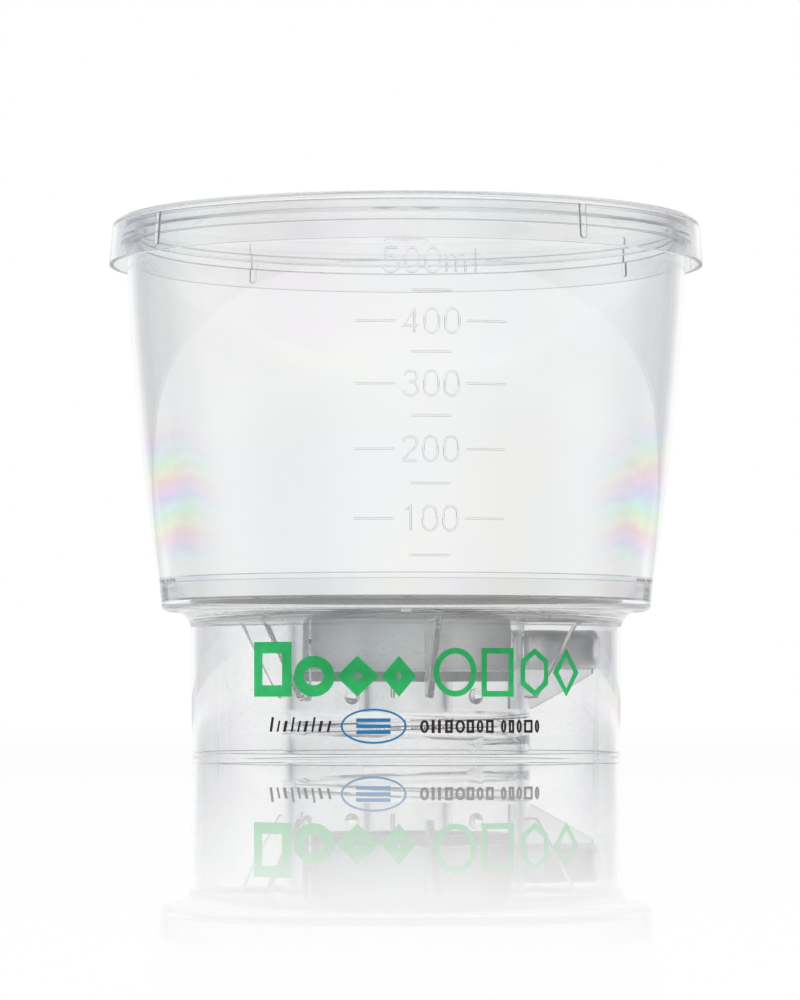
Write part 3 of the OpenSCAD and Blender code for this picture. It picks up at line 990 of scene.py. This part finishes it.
def make_film():
    """Thin clear film with rounded corners on the front of the skirt."""
    half = LABEL_HALF * SKIRT_TOP_R
    run = sorted({-half + 0.15 * i for i in range(18)} | {half - 0.15 * i for i in range(18)}
                 | {-half + 2 * half * i / 120 for i in range(121)})
    rows = 6

    def cut(x):
        edge = min(half - abs(x), LABEL_CORNER)
        return LABEL_CORNER - math.sqrt(max(0.0, LABEL_CORNER ** 2 - (LABEL_CORNER - edge) ** 2))

    vertices = [(x, label_low.z + cut(x) + (label_high.z - label_low.z - 2 * cut(x)) * j / rows)
                for j in range(rows + 1) for x in run]
    n = len(run)
    faces = [(j * n + i, j * n + i + 1, (j + 1) * n + i + 1, (j + 1) * n + i)
             for j in range(rows) for i in range(n - 1)]
    film = wrapped("label_film", vertices, faces, clear_film, FRONT + LABEL_TURN,
                   lambda z: skirt_r(z) + FILM_IN, lambda z: skirt_r(z) + FILM_OUT)
    finish_mesh(film)
    return film


def ring_drawing(outline, hole):
    """Drawing of a closed band between an outline and a hole with as many points."""
    n = len(outline)
    return list(outline) + list(hole), [(i, (i + 1) % n, n + (i + 1) % n, n + i) for i in range(n)]


def polygon_points(cx, cz, w, h, sides, turn, steps=1):
    """Outline of a polygon about a centre, with each side in equal steps."""
    points = []
    for i in range(sides):
        a = math.radians(turn) + TURN * i / sides
        b = math.radians(turn) + TURN * (i + 1) / sides
        for k in range(steps):
            t = k / steps
            points.append((cx + w / 2 * (math.cos(a) * (1 - t) + math.cos(b) * t),
                           cz + h / 2 * (math.sin(a) * (1 - t) + math.sin(b) * t)))
    return points


def bar(x0, x1, z0, z1, lean=0.0):
    steps = max(1, int((x1 - x0) / 0.8))
    run = [x0 + (x1 - x0) * i / steps for i in range(steps + 1)]
    return strip([(x, z0) for x in run], [(x + lean, z1) for x in run])


def make_print():
    """Plain coloured shapes that stand for the label's print."""
    spot = FRONT

    def ink(name, drawings, look):
        pieces = [wrapped(name, *drawing, look, spot, lambda z: skirt_r(z) + FILM_OUT + PRINT_LIFT,
                          lambda z: skirt_r(z) + PRINT_OUT) for drawing in drawings]
        return joined(name, pieces, look)

    low, mid, top = 12.0, 19.8, 22.5
    shapes = (
        # middle, width, height, foot, sides, first corner, steps a side, stroke
        (-27.6, 9.2, top - low, low, 4, 45, 9, 2.2),
        (-18.2, 8.6, mid - low, low, 64, 0, 1, 2.2),
        (-9.4, 8.4, mid - low, low, 4, 0, 9, 2.2),
        (-1.4, 6.6, mid - low, low, 4, 0, 9, 2.0),
        (9.4, 8.4, top - low - 1.2, low, 64, 0, 1, 1.1),
        (18.0, 6.8, top - low - 1.2, low, 4, 45, 9, 1.1),
        (26.2, 7.6, top - low - 1.2, low, 6, 90, 7, 1.1),
        (34.4, 7.4, top - low - 1.2, low, 4, 0, 9, 1.1),
    )
    solid = []
    for cx, w, h, foot, sides, turn, steps, stroke in shapes:
        grow = math.sqrt(2) if (sides, turn) == (4, 45) else 1.0
        slope = math.sqrt(2) if (sides, turn) != (4, 45) else grow
        slope = 1.0 if sides == 64 else slope if sides == 4 else 1.1
        cz = foot + h / 2
        around = polygon_points(cx, cz, w * grow, h * grow, sides, turn, steps=steps)
        hole = polygon_points(cx, cz, w * grow - 2 * stroke * slope, h * grow - 2 * stroke * slope,
                              sides, turn, steps=steps)
        solid.append(ring_drawing(around, hole))
    green = ink("print_green", solid, ink_green)

    def small_ring(x, w, sides, turn):
        grow = math.sqrt(2) if sides == 4 else 1.0
        around, hole = (polygon_points(x + w / 2, PRINT_LINE_Z, (w - cut) * grow, (2.5 - cut) * grow,
                                       sides, turn, steps=4) for cut in (0.0, 1.0))
        return ring_drawing(around, hole)

    leaning = ((-28.2, 1.1), (-26.5, 0.8), (-25.0, 1.2), (-23.2, 0.8), (-21.8, 0.8), (-20.4, 1.1),
               (-18.7, 0.8), (-17.3, 1.1), (-15.5, 0.9))
    dashes = [bar(x, x + 0.55 * w, 5.3, 7.4 if k % 3 else 8.1, lean=0.5)
              for k, (x, w) in enumerate(leaning)]
    words = ((2.6, (1.7, 0.7, 0.9, 1.5, 1.9)), (11.6, (1.5, 1.4, 1.6)), (18.6, (1.2, 1.2, 1.2, 2.0, 1.1)))
    for x, widths in words:
        for w in widths:
            if w < 1.0:
                dashes.append(bar(x, x + 0.6, 5.1, 7.6))
            else:
                dashes.append(small_ring(x, w, *((4, 45), (24, 0))[len(dashes) % 2]))
            x += w + 0.5
    dark = ink("print_dark", dashes, ink_dark)

    frame_out = polygon_points(-6.3, 6.4, 12.7, 6.7, 64, 0)
    frame_in = polygon_points(-6.3, 6.4, 11.9, 5.9, 64, 0)
    blue_shapes = [ring_drawing(frame_out, frame_in)]
    blue_shapes += [bar(-9.6, -3.0, 6.4 + dz, 6.4 + dz + 0.7) for dz in (-1.5, -0.35, 0.8)]
    blue = ink("print_blue", blue_shapes, ink_blue)
    return green, dark, blue


def make_membrane():
    """White disc clamped between the funnel and the base."""
    r = membrane_high.x
    low, high = membrane_low.z + CLEAR, membrane_high.z - CLEAR
    membrane = lathe("membrane_disc", [(0, low), (r, low), (r, high), (0, high)], white_membrane)
    finish_mesh(membrane)
    return membrane


base = make_base()
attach(base, "unit")
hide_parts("base")

funnel = make_funnel()
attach(funnel, "unit")
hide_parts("funnel")

lid = make_lid()
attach(lid, "lid")
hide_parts("lid")

membrane = make_membrane()
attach(membrane, "unit")
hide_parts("membrane")

for cad_name, look in (("neck_seal", seal_rubber), ("port_filter", plug_fibre)):
    cad_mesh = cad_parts[cad_name].data
    cad_mesh.materials.clear()
    cad_mesh.materials.append(look)

film = make_film()
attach(film, "unit")
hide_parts("label")
for print_piece in make_print():
    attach(print_piece, "unit")


# Stage, light and camera

WORLD_SIDES = ((0.0, 1.0), (0.3, 1.0), (0.5, 0.75), (0.7, 0.38), (0.88, 0.35), (1.0, 0.7))
INSIDE_LIGHT = 1.6  # strength of the light from above on matt pieces inside clear ones
FLOOR_REACH = 6.0
FLOOR_DROP = -0.00002  # keeps the floor's face off the foot's
MIRROR_REACH = 0.8
MIRROR_FADE = ((0.0, 1.0), (0.131, 0.97), (0.47, 0.75), (0.684, 0.5), (0.79, 0.24), (0.875, 0.06),
               (1.0, 0.0))


def light_path(tree):
    return tree.nodes.new("ShaderNodeLightPath").outputs


def white_seen(tree, mirrored):
    """One for camera and refracted rays, the given share for mirrored ones, nought for the rest."""
    path = light_path(tree)
    plain = maths(tree, "MAXIMUM", path["Is Camera Ray"], path["Is Transmission Ray"])
    return maths(tree, "MAXIMUM", plain, product(tree, path["Is Glossy Ray"], mirrored))


def blended(tree, factor, first, second):
    """Number between two others."""
    node = tree.nodes.new("ShaderNodeMix")
    node.data_type = "FLOAT"
    feed(tree, factor, node.inputs["Factor"])
    feed(tree, first, node.inputs[2])
    feed(tree, second, node.inputs[3])
    return node.outputs[0]


def make_world():
    """White to the camera, and elsewhere darker to the sides and overhead, as a studio is."""
    world = bpy.data.worlds.new("studio")
    bpy.context.scene.world = world
    world.use_nodes = True
    tree = world.node_tree
    parts = split(tree, tree.nodes.new("ShaderNodeTexCoord").outputs["Generated"])
    depth = ranged(tree, parts["Y"], -0.7, 0.5, 0.62, 1.0)
    high = ranged(tree, maths(tree, "ABSOLUTE", parts["Z"]), 0.2, 0.75, 1.0, 0.5, smooth=True)
    stops = [(at, (shade * 0.97, shade * 0.985, shade)) for at, shade in WORLD_SIDES]
    sides = ramped(tree, maths(tree, "ABSOLUTE", parts["X"]), stops, smooth=True)
    path = light_path(tree)
    seen = blended(tree, path["Is Camera Ray"], product(tree, depth, high, sides), 1.0)
    # The lamps don't reach matt pieces inside clear ones, so light from above makes up for them
    from_matt = maths(tree, "GREATER_THAN", path["Diffuse Depth"], 0.5)
    above = ranged(tree, parts["Z"], 0.05, 0.4, smooth=True)
    inside = product(tree, from_matt, path["Is Transmission Ray"], above)
    level = blended(tree, inside, seen, INSIDE_LIGHT)
    background = tree.nodes["Background"]
    cool = ramped(tree, level, ((0.25, (0.86, 0.91, 1.0)), (0.85, (1.0, 1.0, 1.0))))
    tree.links.new(cool, background.inputs["Color"])
    tree.links.new(level, background.inputs["Strength"])


def shader_mix(tree, factor, first, second):
    node = tree.nodes.new("ShaderNodeMixShader")
    tree.links.new(factor, node.inputs["Fac"])
    tree.links.new(first, node.inputs[1])
    tree.links.new(second, node.inputs[2])
    return node.outputs[0]


def make_floor():
    """White floor that keeps the unit's shadow, with a mirror image that fades outward."""
    mesh = bpy.data.meshes.new("floor")
    r = FLOOR_REACH
    mesh.from_pydata([(-r, -r, 0), (r, -r, 0), (r, r, 0), (-r, r, 0)], [], [(0, 1, 2, 3)])
    look, tree, shader = material("floor_white")
    tree.nodes.remove(shader)
    paint = tree.nodes.new("ShaderNodeBsdfDiffuse")
    paint.inputs["Color"].default_value = (0.92, 0.92, 0.92, 1.0)
    glow = tree.nodes.new("ShaderNodeEmission")
    glow.inputs["Color"].default_value = (1.0, 1.0, 1.0, 1.0)
    glow.inputs["Strength"].default_value = 1.0
    mirror = tree.nodes.new("ShaderNodeBsdfGlossy")
    mirror.inputs["Roughness"].default_value = 0.0
    mirror.inputs["Color"].default_value = (1.0, 1.0, 1.0, 1.0)
    gloss = tree.nodes.new("ShaderNodeFresnel")
    gloss.inputs["IOR"].default_value = 1.5
    away = length(tree, own_place(tree))
    near = ranged(tree, away, 0.05, 0.3, 0.8, 1.0, smooth=True)
    dim = ranged(tree, away, 0.15, 1.2, 1.0, 0.4, smooth=True)
    share = product(tree, white_seen(tree, dim), near)
    ground = shader_mix(tree, share, paint.outputs[0], glow.outputs[0])
    stops = [(at, (shade, shade, shade)) for at, shade in MIRROR_FADE]
    fade = ramped(tree, maths(tree, "DIVIDE", away, MIRROR_REACH), stops)
    shine = product(tree, fade, gloss.outputs["Fac"])
    tree.links.new(shader_mix(tree, shine, ground, mirror.outputs[0]),
                   tree.nodes["Material Output"].inputs["Surface"])
    floor = new_object("floor", mesh, look)
    floor.location.z = FLOOR_DROP
    return floor


make_world()
floor = make_floor()


def soft_lamp(name, place, size, watts):
    """Square area lamp that faces the unit and isn't mirrored in it."""
    data = bpy.data.lights.new(name, "AREA")
    data.size = size
    data.energy = watts
    lamp = bpy.data.objects.new(name, data)
    lamp.location = place
    target = Vector((0, 0, RIM_Z * MM / 2))
    lamp.rotation_euler = (target - lamp.location).to_track_quat("-Z", "Y").to_euler()
    lamp.visible_glossy = False
    lamp.visible_transmission = False
    bpy.context.scene.collection.objects.link(lamp)


soft_lamp("key", Vector((-0.6, -0.7, 0.8)), 0.7, 5.0)
soft_lamp("fill", Vector((0.7, -0.5, 0.7)), 0.7, 3.5)

BOUNCES = 96  # light turns back and forth many times inside clear walls
CAMERA_X = -0.0012
CAMERA_DISTANCE = 0.905
EYE_Z = 12.15 * MM
PITCH = math.radians(2.47)
camera_data = bpy.data.cameras.new("camera")
camera_data.sensor_width = 36.0
camera_data.lens = 163.5
camera = bpy.data.objects.new("camera", camera_data)
camera.location = (CAMERA_X, -CAMERA_DISTANCE, EYE_Z)
camera.rotation_euler = (math.pi / 2 + PITCH, 0, 0)
bpy.context.scene.collection.objects.link(camera)
bpy.context.scene.camera = camera
bpy.context.scene.view_settings.view_transform = "Standard"
bpy.context.scene.cycles.max_bounces = BOUNCES
bpy.context.scene.cycles.transmission_bounces = BOUNCES
bpy.context.scene.cycles.glossy_bounces = BOUNCES
